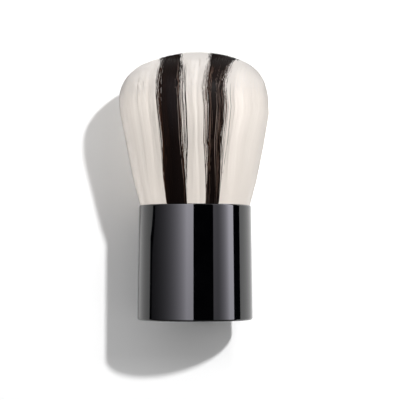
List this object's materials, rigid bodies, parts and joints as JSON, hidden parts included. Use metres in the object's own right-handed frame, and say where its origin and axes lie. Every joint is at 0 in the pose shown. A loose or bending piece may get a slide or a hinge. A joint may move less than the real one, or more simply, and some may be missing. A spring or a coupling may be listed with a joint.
{
  "type": "kabuki makeup brush",
  "caption": "Short round handle with a dense, flared and domed head of pale hair with dark stripes, for buffing powder onto skin.",
  "frame": {"origin": "centre of the base, in the plane that the brush stands on", "axes": "+Z along the brush from the base to the crown of the hair; the stripes run front to back along Y"},
  "size_m": [0.0388, 0.0388, 0.0696],
  "materials": {
    "handle_gloss_black": "gloss",
    "cap_satin_black": "satin",
    "weight_steel": "satin",
    "core_plastic": "matte",
    "cup_aluminium": "satin",
    "resin_amber": "gloss",
    "thread_cotton": "matte",
    "hair_white": "satin",
    "hair_dark": "satin"
  },
  "bodies": {
    "root": {"handle_shell": "handle_gloss_black", "base_cap": "cap_satin_black", "base_weight": "weight_steel", "inner_core": "core_plastic", "ferrule_cup": "cup_aluminium", "root_resin": "resin_amber", "binding_thread": "thread_cotton", "left_outer_tuft": "hair_white", "left_dark_tuft": "hair_dark", "centre_tuft": "hair_white", "right_dark_tuft": "hair_dark", "right_outer_tuft": "hair_white"}
  },
  "joints": []
}
